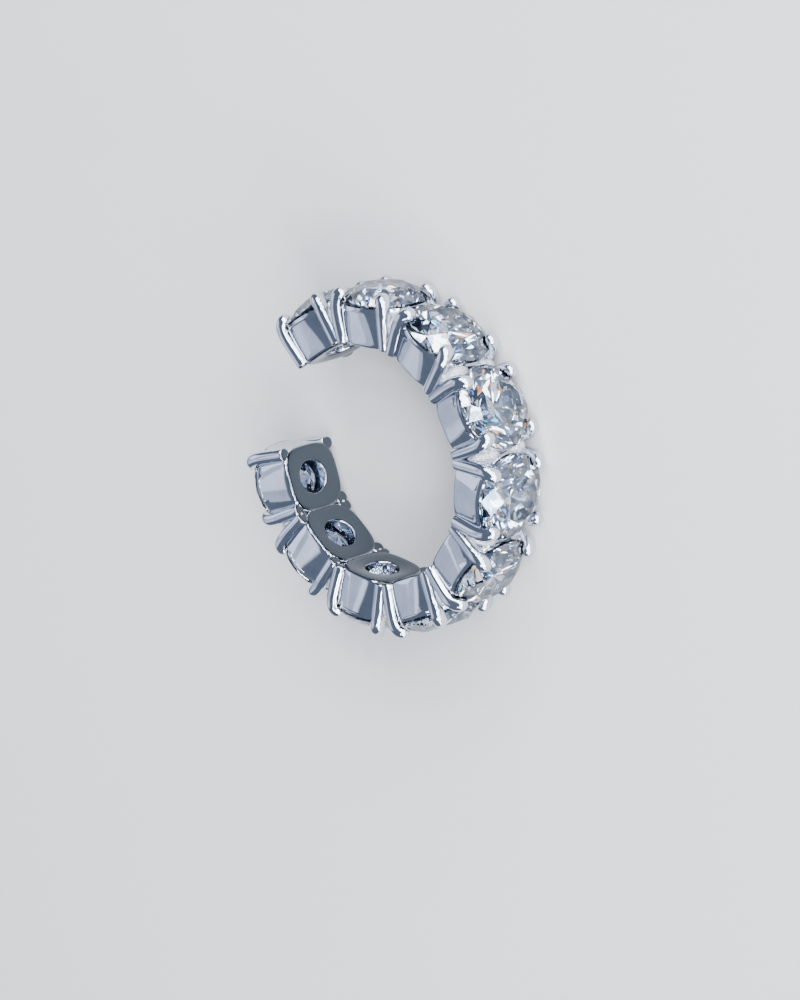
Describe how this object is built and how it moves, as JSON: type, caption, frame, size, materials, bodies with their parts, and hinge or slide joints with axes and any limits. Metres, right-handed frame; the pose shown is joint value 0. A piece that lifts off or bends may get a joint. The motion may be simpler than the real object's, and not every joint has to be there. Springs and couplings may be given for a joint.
{
  "type": "ear cuff",
  "caption": "Open C-shaped ear cuff: a row of round brilliant-cut stones in soldered four-prong cups of polished white metal.",
  "frame": {"origin": "middle of the base of the bounding box; the ring's axis stands 0.4 mm from it towards the mouth", "axes": "+Z along the ring's axis, up as the cuff lies on its side; -X out through the mouth; +Y across the mouth"},
  "size_m": [0.0138, 0.0148, 0.0036],
  "materials": {
    "white_metal": "polished",
    "clear_stone": "polished"
  },
  "bodies": {
    "root": {"cuff_frame": "white_metal", "stone_01": "clear_stone", "stone_02": "clear_stone", "stone_03": "clear_stone", "stone_04": "clear_stone", "stone_05": "clear_stone", "stone_06": "clear_stone", "stone_07": "clear_stone", "stone_08": "clear_stone", "stone_09": "clear_stone", "stone_10": "clear_stone"}
  },
  "joints": []
}
